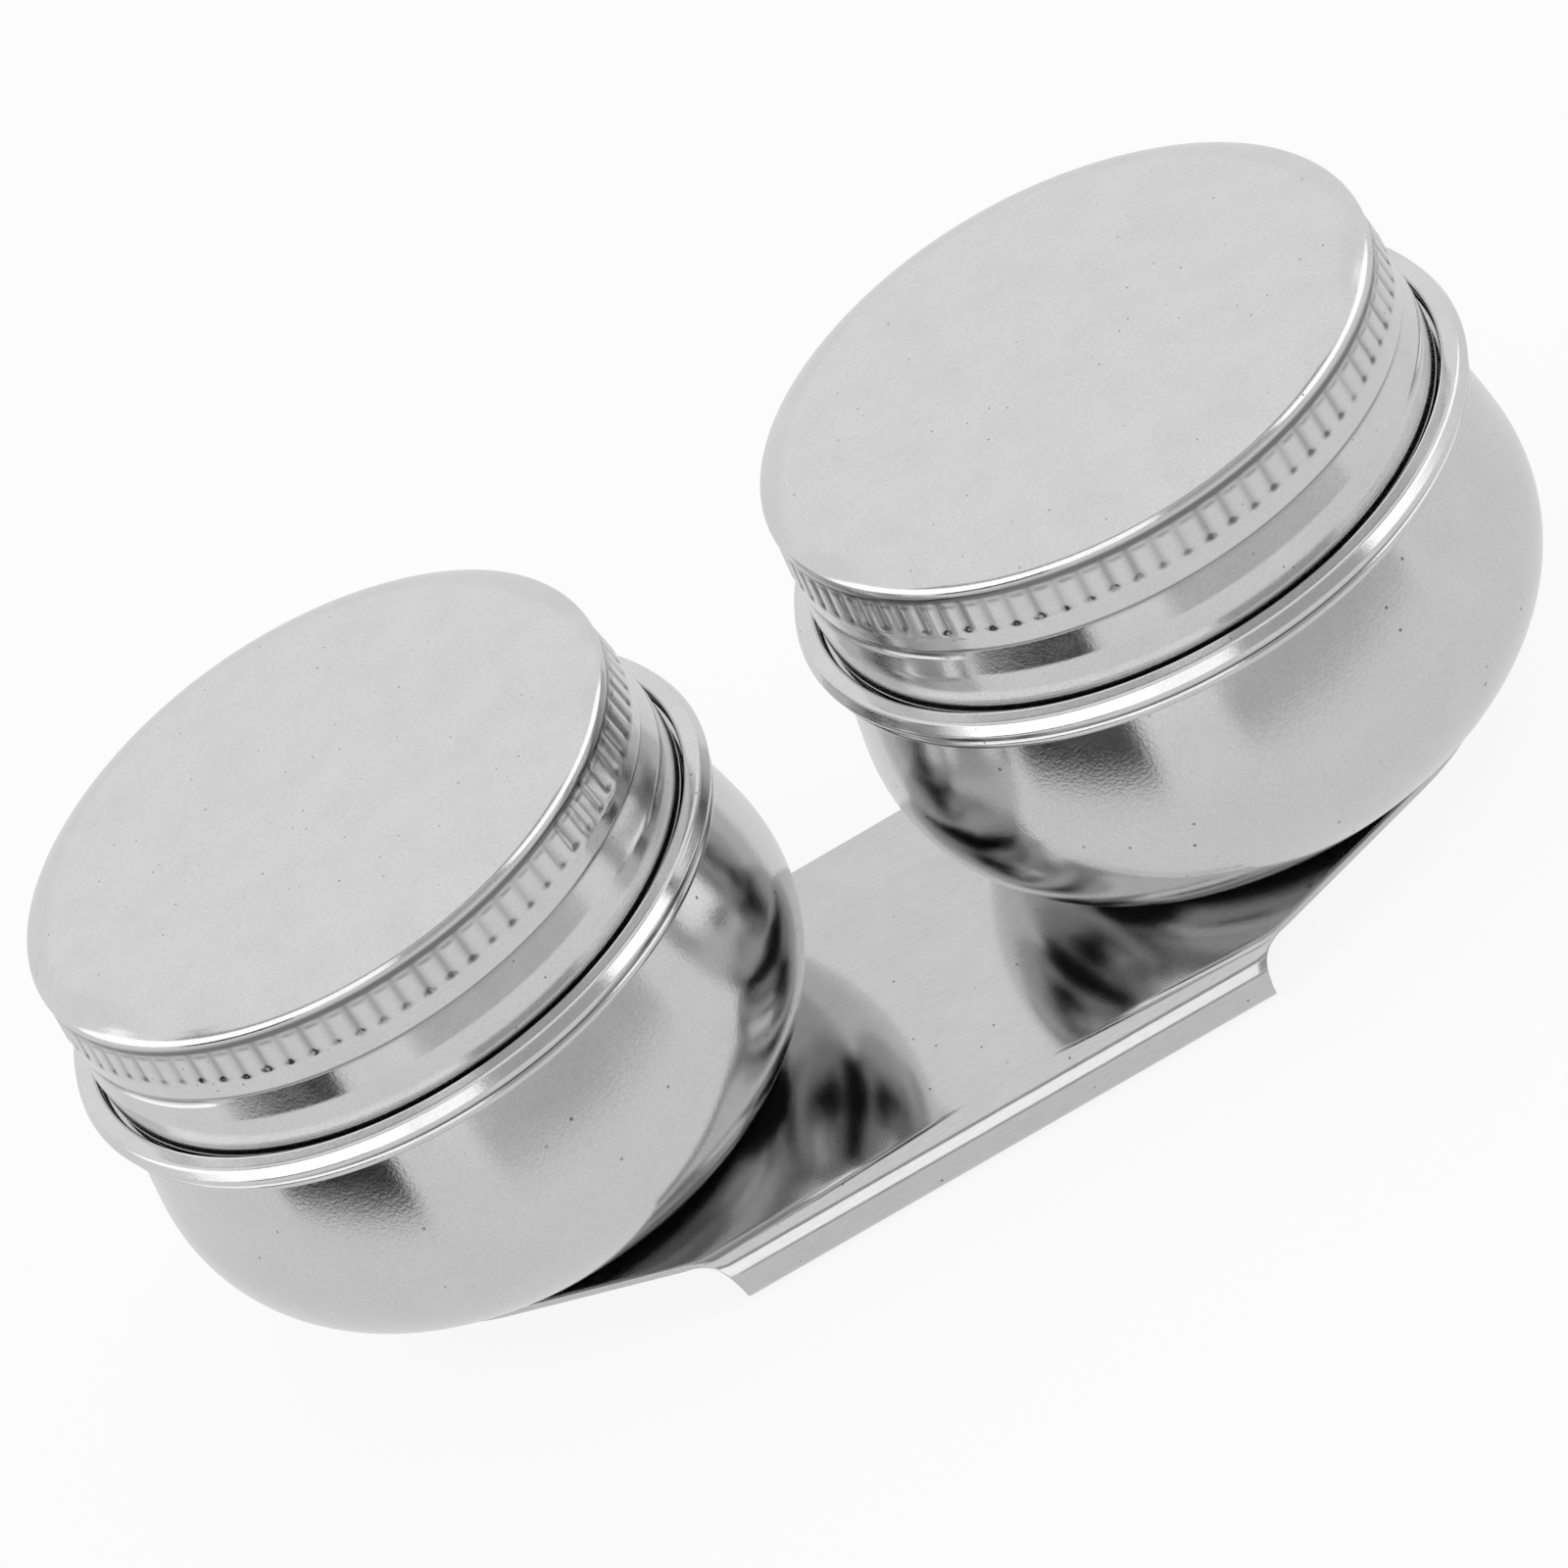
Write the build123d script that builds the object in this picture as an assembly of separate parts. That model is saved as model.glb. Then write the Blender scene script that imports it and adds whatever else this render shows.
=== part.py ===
"""Double palette cup with screw lids on one spring clip, built from pressed steel sheet.

Millimetres. +X runs along the pair of cups, -Y is the front with the folded edge of the clip and
+Z is up. The origin is under the middle of the part, at the level that it stands on.
"""

import os
from math import atan2, cos, radians, sin, sqrt, tan

from build123d import *

# Spacing of the two cups, and how the clip carries them
cup_spacing = 58.6
plate_thickness = 0.5
clip_gap = 3.2
fold_radius = 1.2

# Clip plate, seen from above
plate_back = 12.1
fold_front = 23.85
tab_half_width = 21.35
tab_taper_angle = 13.2
shoulder_inset = 1.02
shoulder_reach = 2.6
shoulder_angle = 23.3
relief_radius = 3.7

# Spring tongue under the plate
tongue_back = 9.5
tongue_pinch_back = 4.0
tongue_pinch_rise = 0.9
tongue_corner_radius = 5.0

# Bowl
bowl_wall = 0.4
bowl_foot_radius = 13.7
bowl_corner_radius = 11.3
bowl_height = 22.45
bowl_upper_radius = 13.5
bowl_wall_angle = 12.5
lip_roll_radius = 0.47
lip_reach = 1.45

# Neck ring
neck_wall = 0.45
neck_height = 11.5
neck_inset = 1.65
neck_roll_radius = 0.6
rim_bead_radius = 0.75
rim_reach = 2.25

# Screw thread
thread_pitch = 3.0
thread_turns = 0.75
thread_start = 1.35
neck_thread_turns = 1.25
neck_thread_height = 0.85
neck_thread_root = 1.8
neck_thread_crest = 0.7
lid_thread_height = 0.75
lid_thread_root = 1.8
lid_thread_crest = 0.9
lid_crease_depth = 0.12
lid_crease_width = 0.45
lid_crease_floor = 0.15
right_thread_angle = 320.0
left_thread_angle = 326.0

# Lid
lid_wall = 0.45
lid_height = 12.1
lid_thread_clearance = 0.5
lid_shoulder_radius = 2.0
lid_shoulder_inset = 1.0
lid_knurl_inset = 0.25
lid_knurl_taper = 0.3
lid_groove_depth = 0.25
lid_groove_drop = 2.5
lid_knurl_top = 2.85
lid_knurl_bottom = 5.3
lid_step_drop = 6.75
lid_step_height = 0.3
lid_step_groove = 0.17
lid_flare_height = 2.1
hem_radius = 0.35
hem_reach = 0.06
flute_count = 82
flute_width = 0.75
flute_depth = 0.24

# Seal disc inside the lid
liner_thickness = 0.8
liner_clearance = 0.1
liner_edge_gap = 0.15

# Spot welds between each bowl and the plate
weld_count = 4
weld_circle_radius = 8.5
weld_radius = 1.6
weld_depth_share = 0.6
weld_dent = 0.12

# Overrun of every cutting tool, and how far a rib is sunk into its wall
overrun = 1.0
root_sink = 0.12

# Levels and radii that follow from the sizes above
plate_top = clip_gap + 2 * plate_thickness
plate_bottom = plate_top - plate_thickness
wall_slant = radians(bowl_wall_angle)
belly_radius = bowl_foot_radius + bowl_corner_radius
cone_level = plate_top + bowl_corner_radius + bowl_upper_radius * sin(wall_slant)
cone_radius = belly_radius - bowl_upper_radius * (1 - cos(wall_slant))
ring_bottom = plate_top + bowl_height
mouth_radius = cone_radius - (ring_bottom - cone_level) * tan(wall_slant)
mouth_bore = mouth_radius - bowl_wall / cos(wall_slant)
rim_radius = mouth_radius + rim_reach
neck_radius = mouth_radius - neck_inset
neck_bore = neck_radius - neck_wall
neck_top = ring_bottom + neck_height
lid_top = neck_top + liner_clearance + liner_thickness + lid_wall
lid_bottom = lid_top - lid_height
skirt_radius = neck_radius + neck_thread_height + lid_thread_clearance + lid_wall
shoulder_radius = skirt_radius - lid_shoulder_inset
knurl_radius = skirt_radius - lid_knurl_inset
half_turn = 180.0
full_turn = 360.0
half_spacing = cup_spacing / 2
bend_line = -(fold_front - fold_radius)
shoulder_slant = radians(shoulder_angle)
shoulder_corner = -(fold_front - shoulder_inset)
plate_end_radius = -shoulder_corner * cos(shoulder_slant) - (
    half_spacing - tab_half_width
) * sin(shoulder_slant)

# The side edges of the fold are drawn square to the middle of the upper bend, where the web's
# lower end lies this much further out than the shoulder's corner, and is narrower by the taper
slant_share = sqrt(2) / 2
web_depth = (shoulder_corner - (bend_line - plate_top)) * slant_share
taper = tan(radians(tab_taper_angle))
tongue_half_width = tab_half_width - web_depth * taper


def spun(profile):
    """A face drawn as (radius, height) turned once round the Z axis."""
    return revolve(Plane.XZ * profile, Axis.Z)


def block(radius_in, radius_out, low, high):
    """A rectangle of a turned section, from its two radii and two heights."""
    return Polygon(
        (radius_in, low), (radius_out, low), (radius_out, high), (radius_in, high), align=None
    )


def helix_rib(radius, base, tip_step, root_width, tip_width, start, turns, angle):
    """A trapezoid swept along a right-hand helix, from its root radius by tip_step."""
    path = Helix(thread_pitch, thread_pitch * turns, radius, center=(0, 0, start))
    section = Polygon(
        (base - radius, -root_width / 2),
        (tip_step + base - radius, -tip_width / 2),
        (tip_step + base - radius, tip_width / 2),
        (base - radius, root_width / 2),
        align=None,
    )
    plane = Plane(origin=path @ 0, x_dir=(1, 0, 0), z_dir=-(path % 0))
    return Rot(0, 0, angle) * sweep(plane * section, path=path, is_frenet=True)


def bowl_side(inset):
    """The outline of a bowl's wall, set in from its outer face: foot, corner, upper curve, cone."""
    corner = bowl_corner_radius - inset
    upper = bowl_upper_radius - inset
    foot_level = plate_top + inset
    belly_level = plate_top + bowl_corner_radius
    upper_centre = belly_radius - bowl_upper_radius
    foot_edge = (bowl_foot_radius, foot_level)
    belly = (belly_radius - inset, belly_level)
    lower_middle = (
        bowl_foot_radius + corner * sin(radians(45)),
        belly_level - corner * cos(radians(45)),
    )
    upper_middle = (
        upper_centre + upper * cos(wall_slant / 2),
        belly_level + upper * sin(wall_slant / 2),
    )
    cone_foot = (
        upper_centre + upper * cos(wall_slant),
        belly_level + upper * sin(wall_slant),
    )
    return [
        Line((0, foot_level), foot_edge),
        ThreePointArc(foot_edge, lower_middle, belly),
        ThreePointArc(belly, upper_middle, cone_foot),
        Line(cone_foot, (mouth_radius - inset / cos(wall_slant), ring_bottom)),
    ]


def weld_places():
    """The centres of one bowl's spot welds, about that bowl's axis."""
    step = full_turn / weld_count
    return [
        Rot(0, 0, step * (i + 0.5)) * Pos(weld_circle_radius, 0, 0) for i in range(weld_count)
    ]


def make_bowl():
    """A pressed bowl with a flat foot and a rolled lip under the neck ring."""
    outline = bowl_side(0) + bowl_side(bowl_wall)
    outline += [
        Line((0, plate_top), (0, plate_top + bowl_wall)),
        Line((mouth_bore, ring_bottom), (mouth_radius, ring_bottom)),
    ]
    roll_centre = mouth_radius + lip_reach
    lip = block(mouth_radius, roll_centre, ring_bottom - bowl_wall, ring_bottom)
    roll = Pos(roll_centre, ring_bottom - lip_roll_radius) * Circle(lip_roll_radius)
    bowl = spun(make_face(outline) + lip + roll)
    depth = bowl_wall * weld_depth_share
    for place in weld_places():
        bowl -= place * Pos(0, 0, plate_top + depth / 2) * Cylinder(weld_radius, depth)
    return bowl


def make_weld_spots():
    """The weld nuggets that fill the pockets in one bowl's foot and the holes in the plate."""
    low = plate_bottom + weld_dent
    high = plate_top + bowl_wall * weld_depth_share
    nugget = Pos(0, 0, (low + high) / 2) * Cylinder(weld_radius, high - low)
    return Compound([place * nugget for place in weld_places()])


def make_neck_ring(thread_angle):
    """The threaded neck, with a ledge and a rolled bead that sits on the bowl's lip."""
    bead_centre = rim_radius - rim_bead_radius
    ledge = block(neck_bore, bead_centre, ring_bottom, ring_bottom + neck_wall)
    bead = Pos(bead_centre, ring_bottom + rim_bead_radius) * Circle(rim_bead_radius)
    wall = block(neck_bore, neck_radius, ring_bottom, neck_top - neck_roll_radius)
    roll_centre = neck_radius - neck_roll_radius
    roll = Pos(roll_centre, neck_top - neck_roll_radius) * Circle(neck_roll_radius)
    ring = spun(ledge + bead + wall + roll)
    rib = helix_rib(
        neck_radius,
        neck_radius - root_sink,
        root_sink + neck_thread_height,
        neck_thread_root,
        neck_thread_crest,
        lid_bottom + thread_start,
        neck_thread_turns,
        thread_angle - half_turn,
    )
    return ring + rib


def lid_profile():
    """The turned section of the lid: flat top, shoulder, knurled band, step, flared skirt and hem."""
    flat_edge = shoulder_radius - lid_shoulder_radius
    centre = (flat_edge, lid_top - lid_shoulder_radius)
    inner_round = lid_shoulder_radius - lid_wall
    diagonal = sqrt(2) / 2
    knurl_start = knurl_radius - lid_knurl_taper
    groove_level = lid_top - lid_groove_drop
    knurl_level = lid_top - lid_knurl_top
    step_level = lid_top - lid_step_drop
    groove_half = lid_knurl_top - lid_groove_drop
    hem_level = lid_bottom + hem_radius
    hem_centre = skirt_radius + hem_reach - hem_radius
    outer = [
        (shoulder_radius, lid_top - lid_shoulder_radius),
        (shoulder_radius, groove_level + groove_half),
        (shoulder_radius - lid_groove_depth, groove_level),
        (knurl_start, knurl_level),
        (knurl_radius, lid_top - lid_knurl_bottom),
        (knurl_radius, step_level + lid_step_height),
        (knurl_radius - lid_step_groove, step_level),
        (skirt_radius, step_level - lid_flare_height),
        (skirt_radius, hem_level),
        (hem_centre, lid_bottom),
    ]
    inner = [
        (skirt_radius - lid_wall, lid_bottom + hem_radius),
        (skirt_radius - lid_wall, step_level - lid_flare_height),
        (knurl_radius - lid_wall, step_level),
        (knurl_radius - lid_wall, lid_top - lid_knurl_bottom),
        (knurl_start - lid_wall, knurl_level),
        (shoulder_radius - lid_wall, groove_level + groove_half),
        (shoulder_radius - lid_wall, lid_top - lid_shoulder_radius),
    ]
    lines = [
        Line((0, lid_top), (flat_edge, lid_top)),
        ThreePointArc(
            (flat_edge, lid_top),
            (
                centre[0] + lid_shoulder_radius * diagonal,
                centre[1] + lid_shoulder_radius * diagonal,
            ),
            outer[0],
        ),
        Polyline(*outer),
        Line(outer[-1], inner[0]),
        Polyline(*inner),
        ThreePointArc(
            inner[-1],
            (centre[0] + inner_round * diagonal, centre[1] + inner_round * diagonal),
            (flat_edge, lid_top - lid_wall),
        ),
        Line((flat_edge, lid_top - lid_wall), (0, lid_top - lid_wall)),
        Line((0, lid_top - lid_wall), (0, lid_top)),
    ]
    hem = Pos(hem_centre, hem_level) * Circle(hem_radius)
    return make_face(lines) + hem


def make_lid(thread_angle):
    """The screw lid: a pressed shell with short flutes and a thread that leaves a thin crease."""
    lid = spun(lid_profile())
    rib = helix_rib(
        skirt_radius,
        skirt_radius - lid_wall + root_sink,
        -root_sink - lid_thread_height,
        lid_thread_root,
        lid_thread_crest,
        lid_bottom + thread_start,
        thread_turns,
        thread_angle,
    )
    crease = helix_rib(
        skirt_radius,
        skirt_radius + root_sink,
        -root_sink - lid_crease_depth,
        lid_crease_width,
        lid_crease_floor,
        lid_bottom + thread_start,
        thread_turns,
        thread_angle,
    )
    lid = lid + rib - crease
    flute_radius = (flute_width**2 / 4 + flute_depth**2) / (2 * flute_depth)
    flute_height = lid_knurl_bottom - lid_knurl_top
    flute = Pos(
        knurl_radius + flute_radius - flute_depth,
        0,
        lid_top - (lid_knurl_top + lid_knurl_bottom) / 2,
    ) * Cylinder(flute_radius, flute_height)
    step = full_turn / flute_count
    return lid - [Rot(0, 0, thread_angle + step * i) * flute for i in range(flute_count)]


def make_liner():
    """The seal disc under the lid's top, with an edge that slants in under the lid's shoulder."""
    top = lid_top - lid_wall
    upper_radius = shoulder_radius - lid_shoulder_radius - liner_edge_gap
    lower_radius = shoulder_radius - lid_wall - 2 * liner_edge_gap
    section = Polygon(
        (0, top - liner_thickness),
        (lower_radius, top - liner_thickness),
        (upper_radius, top),
        (0, top),
        align=None,
    )
    return spun(section)


def fold_profile():
    """The side view of the sheet from the front of the plate, round the fold, to the tongue's tip."""
    inner = fold_radius - plate_thickness
    upper = plate_top - fold_radius
    rise = atan2(tongue_pinch_rise, tongue_pinch_back - bend_line)
    fall = atan2(tongue_pinch_rise, tongue_back - tongue_pinch_back)
    diagonal = sqrt(2) / 2
    lower_out = (bend_line + fold_radius * sin(rise), fold_radius - fold_radius * cos(rise))
    lower_in = (bend_line + inner * sin(rise), fold_radius - inner * cos(rise))
    pinch = (tongue_pinch_back, tongue_pinch_rise)
    pinch_top = (tongue_pinch_back, tongue_pinch_rise + plate_thickness)
    tip_top = (tongue_back + plate_thickness * sin(fall), plate_thickness * cos(fall))
    lines = [
        Line((bend_line, plate_bottom), (bend_line, plate_top)),
        ThreePointArc(
            (bend_line, plate_top),
            (bend_line - fold_radius * diagonal, upper + fold_radius * diagonal),
            (-fold_front, upper),
        ),
        Line((-fold_front, upper), (-fold_front, fold_radius)),
        ThreePointArc(
            (-fold_front, fold_radius),
            (bend_line - fold_radius * diagonal, fold_radius - fold_radius * diagonal),
            lower_out,
        ),
        Polyline(lower_out, pinch, (tongue_back, 0), tip_top, pinch_top, lower_in),
        ThreePointArc(
            lower_in,
            (bend_line - inner * diagonal, fold_radius - inner * diagonal),
            (bend_line - inner, fold_radius),
        ),
        Line((bend_line - inner, fold_radius), (bend_line - inner, upper)),
        ThreePointArc(
            (bend_line - inner, upper),
            (bend_line - inner * diagonal, upper + inner * diagonal),
            (bend_line, plate_bottom),
        ),
    ]
    return make_face(lines)


def shoulder_cut():
    """The tool for the right end of the fold: tab edge, relief curve and slanting shoulder.

    It is drawn square to the middle of the upper bend, so that the curve runs round the bend.
    """
    far = half_spacing + plate_end_radius
    corner = (tab_half_width, shoulder_corner * slant_share)
    end = (far, (shoulder_corner + (far - tab_half_width) * tan(shoulder_slant)) * slant_share)
    depth = web_depth + overrun
    deep = corner[1] - depth
    low = (tab_half_width - depth * taper, deep)
    face = make_face(Polyline(corner, end, (far, deep), low, close=True))
    face = fillet(face.vertices().sort_by_distance((*corner, 0))[0], relief_radius)
    plane = Plane(origin=(0, 0, plate_top), x_dir=(1, 0, 0), z_dir=(0, -1, 1))
    return extrude(plane * face, 2 * fold_front, both=True)


def make_clip():
    """The sheet clip: plate under both bowls, front edge folded under into a spring tongue."""
    wide = tab_half_width + shoulder_reach
    touch_x = half_spacing + plate_end_radius * sin(shoulder_slant)
    touch_y = -plate_end_radius * cos(shoulder_slant)
    middle = Polygon(
        (-half_spacing, plate_back),
        (-touch_x, touch_y),
        (-wide, bend_line),
        (wide, bend_line),
        (touch_x, touch_y),
        (half_spacing, plate_back),
        align=None,
    )
    reach = half_spacing + plate_end_radius
    trim = Pos(0, plate_back + plate_end_radius) * Rectangle(2 * reach, 2 * plate_end_radius)
    outline = middle
    for side in (-1, 1):
        outline += Pos(side * half_spacing, 0) * Circle(plate_end_radius)
    plate = extrude(Pos(0, 0, plate_bottom) * (outline - trim), plate_thickness)
    side_view = Plane.YZ * fold_profile()
    length = tongue_back + fold_front + 2 * overrun
    plan = Pos(0, tongue_back - length / 2) * RectangleRounded(
        2 * tongue_half_width, length, tongue_corner_radius
    )
    square_front = Pos(0, -fold_front) * Rectangle(2 * tongue_half_width, 2 * tongue_corner_radius)
    tongue = extrude(side_view, wide, both=True) & extrude(plan + square_front, plate_top)
    front = Pos(0, bend_line - fold_front / 2, fold_radius + plate_top / 2)
    ears = extrude(side_view, wide, both=True) & front * Box(2 * wide, fold_front, plate_top)
    clip = plate + tongue + ears
    cut = shoulder_cut()
    clip = clip - cut - mirror(cut, about=Plane.YZ)
    for side in (-1, 1):
        for place in weld_places():
            hole = Pos(0, 0, plate_bottom + plate_thickness / 2)
            clip -= Pos(side * half_spacing, 0, 0) * place * hole * Cylinder(
                weld_radius, plate_thickness
            )
    return clip


def main():
    """Write one STEP file for each piece."""
    os.makedirs("parts", exist_ok=True)
    export_step(make_clip(), "parts/clip_plate.step")
    for name, side, angle in (
        ("left", -1, left_thread_angle),
        ("right", 1, right_thread_angle),
    ):
        place = Pos(side * half_spacing, 0, 0)
        pieces = {
            "bowl": make_bowl(),
            "weld_spots": make_weld_spots(),
            "neck_ring": make_neck_ring(angle),
            "lid": make_lid(angle),
            "lid_liner": make_liner(),
        }
        for piece, shape in pieces.items():
            export_step(place * shape, f"parts/{name}_{piece}.step")


main()
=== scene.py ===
"""Looks of a double palette cup with screw lids on a sheet clip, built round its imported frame.

Lengths are metres, written in millimetres through MM. +X runs along the pair of cups, -Y is the
front with the folded edge of the clip and +Z is up.
"""

import math

import bmesh
import bpy
import numpy as np
from bpy.props import FloatProperty, FloatVectorProperty, IntProperty, PointerProperty
from bpy.types import Operator, Panel, PropertyGroup
from mathutils import Matrix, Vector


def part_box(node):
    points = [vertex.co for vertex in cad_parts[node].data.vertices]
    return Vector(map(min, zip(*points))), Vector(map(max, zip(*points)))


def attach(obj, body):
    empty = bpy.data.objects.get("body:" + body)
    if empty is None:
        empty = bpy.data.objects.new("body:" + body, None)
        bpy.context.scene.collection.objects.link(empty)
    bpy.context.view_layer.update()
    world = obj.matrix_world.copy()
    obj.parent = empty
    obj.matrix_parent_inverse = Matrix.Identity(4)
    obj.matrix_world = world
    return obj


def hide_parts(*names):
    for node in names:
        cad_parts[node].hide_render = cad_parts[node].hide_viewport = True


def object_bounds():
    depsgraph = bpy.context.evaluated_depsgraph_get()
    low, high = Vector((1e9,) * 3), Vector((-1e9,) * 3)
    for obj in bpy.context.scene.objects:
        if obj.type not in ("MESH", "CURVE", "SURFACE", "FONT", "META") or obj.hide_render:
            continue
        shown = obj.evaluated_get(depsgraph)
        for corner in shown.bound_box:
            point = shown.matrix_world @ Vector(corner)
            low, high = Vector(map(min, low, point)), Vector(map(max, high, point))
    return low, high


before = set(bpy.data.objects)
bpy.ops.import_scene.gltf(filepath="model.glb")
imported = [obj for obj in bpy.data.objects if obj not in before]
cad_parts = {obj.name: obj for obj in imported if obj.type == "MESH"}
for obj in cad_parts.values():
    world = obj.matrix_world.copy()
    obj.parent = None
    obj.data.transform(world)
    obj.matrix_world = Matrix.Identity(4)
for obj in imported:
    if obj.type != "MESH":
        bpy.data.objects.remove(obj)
cad_low, cad_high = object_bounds()

bl_info = {
    "name": "Palette cup clip",
    "version": (1, 0, 0),
    "blender": (4, 5, 0),
    "location": "3D View > Sidebar > Palette cup",
    "description": "Builds the lids, necks, bowls and clip of a double palette cup, and its studio",
    "category": "Object",
}

MM = 0.001
TURN = 2 * math.pi
SIDES = {"left": -1, "right": 1}

# Ranges from which each flute's depth and each land's bulge are drawn, as shares of their sizes
FLUTE_DEPTHS = (0.6, 1.2)
LAND_BULGES = (0.8, 1.15)


def length(name, text, millimetres):
    """A length property, given in millimetres and kept in metres."""
    return FloatProperty(
        name=name, description=text, default=millimetres * MM, precision=5, unit="LENGTH"
    )


def angle(name, text, degrees):
    """An angle property, given in degrees and kept in radians."""
    return FloatProperty(
        name=name, description=text, default=math.radians(degrees), subtype="ANGLE"
    )


def linear(hex_colour):
    """An sRGB hex colour as linear red, green and blue."""
    srgb = np.array([int(hex_colour[i : i + 2], 16) for i in (1, 3, 5)]) / 255
    tone = np.where(srgb <= 0.04045, srgb / 12.92, ((srgb + 0.055) / 1.055) ** 2.4)
    return tuple(float(part) for part in tone)


def colour(name, text, hex_colour):
    """A colour property, given as an sRGB hex value."""
    return FloatVectorProperty(
        name=name, description=text, default=linear(hex_colour), size=3, subtype="COLOR"
    )


class ThreadSizes(PropertyGroup):
    """The screw thread that a lid and its neck share."""

    pitch: length("Pitch", "Rise of the thread in one turn", 3.0)
    start_height: length("Start height", "Height of the thread's start above the hem", 1.35)
    left_start: angle("Left start", "Where the left lid's thread starts", 326)
    right_start: angle("Right start", "Where the right lid's thread starts", 320)
    fade: angle("Run-out", "Angle over which a thread's end fades", 12)
    lid_turns: FloatProperty(
        name="Lid turns", description="Turns of the lid's thread", default=0.75
    )
    neck_turns: FloatProperty(
        name="Neck turns", description="Turns of the neck's thread", default=1.25
    )
    root_width: length("Root width", "Width of a thread rib at its root", 1.8)
    lid_crest: length("Lid crest", "Width of the lid's rib at its crest", 0.9)
    neck_crest: length("Neck crest", "Width of the neck's rib at its crest", 0.7)
    lid_height: length("Lid rib", "Height of the rib inside the lid", 0.75)
    neck_height: length("Neck rib", "Height of the rib on the neck", 0.85)
    crease_depth: length("Crease depth", "Depth of the thread's crease outside the lid", 0.28)
    crease_width: length("Crease width", "Width of the thread's crease outside the lid", 0.5)
    crease_lift: length("Crease lift", "Height of that crease above the rib inside the lid", 1.45)


class LidSizes(PropertyGroup):
    """One pressed screw lid."""

    wall: length("Wall", "Thickness of the lid's sheet", 0.45)
    shoulder_width: length("Shoulder width", "Width of the slanting face round the flat top", 2.5)
    shoulder_slant: angle("Shoulder slant", "Slant of that face", 34)
    shoulder_radius: length("Shoulder", "Rounding from that face to the side", 0.95)
    shoulder_inset: length("Shoulder inset", "How far the shoulder stands in from the skirt", 0.3)
    crown_radius: length("Crown", "Rounding from the flat top to the slanting face", 6)
    groove_depth: length("Groove depth", "Depth of the groove under the shoulder", 0.3)
    groove_drop: length("Groove drop", "Depth of that groove's middle below the top", 2.35)
    # Half width of the shade painted at the flutes' ends, on the lands' top edges, in the groove
    # and in the step.
    painted_shade_width: length("Dirt width", "Half width of the dirt in the grooves", 0.13)
    knurl_inset: length("Knurl inset", "How far the knurled band stands in from the skirt", 0.25)
    knurl_taper: length("Knurl taper", "Widening of the knurled band towards its foot", 0.3)
    knurl_top: length("Knurl top", "Depth of the knurled band's upper edge", 2.85)
    knurl_bottom: length("Knurl bottom", "Depth of the flutes' lower ends", 5.3)
    step_drop: length("Step drop", "Depth of the step under the knurled band", 6.75)
    step_height: length("Step height", "Height of the step's upper face", 0.3)
    step_groove: length("Step groove", "Depth of the crease in the step", 0.22)
    flare_height: length("Flare height", "Height over which the skirt widens below the step", 2.1)
    hem_radius: length("Hem radius", "Radius of the rolled hem", 0.35)
    hem_reach: length("Hem reach", "How far the hem stands out from the skirt", 0.06)
    hem_height: length("Hem height", "Height over which the hem curls in", 0.45)
    hem_lean: length("Hem lean", "How far the hem curls in", 0.1)
    crease: length("Crease rounding", "Rounding of the pressed creases", 0.1)
    flute_count: IntProperty(name="Flutes", description="Flutes round one lid", default=82)
    flute_rise: length("Flute rise", "Mean rise of the flutes' ends above the knurl's foot", 0.15)
    flute_scatter: length("Flute scatter", "Spread of the flutes' lower ends", 0.07)
    flute_fade: length("Flute fade", "Height over which a flute ends", 0.5)
    flute_depth: length("Flute depth", "Depth of a flute's line", 0.09)
    flute_width: length("Flute width", "Width of a flute's line", 0.5)
    dimple_depth: length("Dimple depth", "Extra depth at a flute's lower end", 0.01)
    dimple_size: length("Dimple size", "Half height of that dimple", 0.2)
    pillow_height: length("Pillow height", "Bulge of the wall between two flutes", 0.03)
    liner_edge: length("Liner edge", "Rounding of the seal disc's edge", 0.25)


class NeckSizes(PropertyGroup):
    """One neck ring. Its thread is among the thread's sizes."""

    wall: length("Wall", "Thickness of the ring's sheet", 0.45)
    bead_radius: length("Bead radius", "Half the height of the rolled bead round the rim", 0.75)
    bead_width: length("Bead width", "Width of the bead, rolled a little flat", 1.72)
    bead_slope: angle("Bead slope", "Slant of the bead's flattened outer face", 24)
    bead_corner: length("Bead corner", "Rounding above and below that face", 0.32)
    rim_reach: length("Rim reach", "How far the bead stands out from the bowl's mouth", 2.25)
    inset: length("Neck inset", "How far the neck stands in from the bowl's mouth", 1.65)
    roll_radius: length("Roll radius", "Radius of the rolled upper edge", 0.6)
    # Half width of the shade painted under the bead.
    painted_shade_width: length("Dirt width", "Half width of the dirt under the bead", 0.22)


class BowlSizes(PropertyGroup):
    """One deep-drawn bowl."""

    wall: length("Wall", "Thickness of the bowl's sheet", 0.4)
    foot_radius: length("Foot radius", "Radius of the flat foot", 13.7)
    corner_radius: length("Corner radius", "Rounding from the foot to the belly", 11.3)
    upper_radius: length("Upper radius", "Rounding of the wall above the belly", 13.5)
    wall_slant: angle("Wall slant", "Slant of the wall up to the mouth", 12.5)
    wall_bow: angle("Wall bow", "How much the slant grows up to the mouth", 6)
    lip_radius: length("Lip radius", "Radius of the rolled lip under the neck ring", 0.47)
    lip_reach: length("Lip reach", "How far the lip's middle stands out from the mouth", 1.45)


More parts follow.
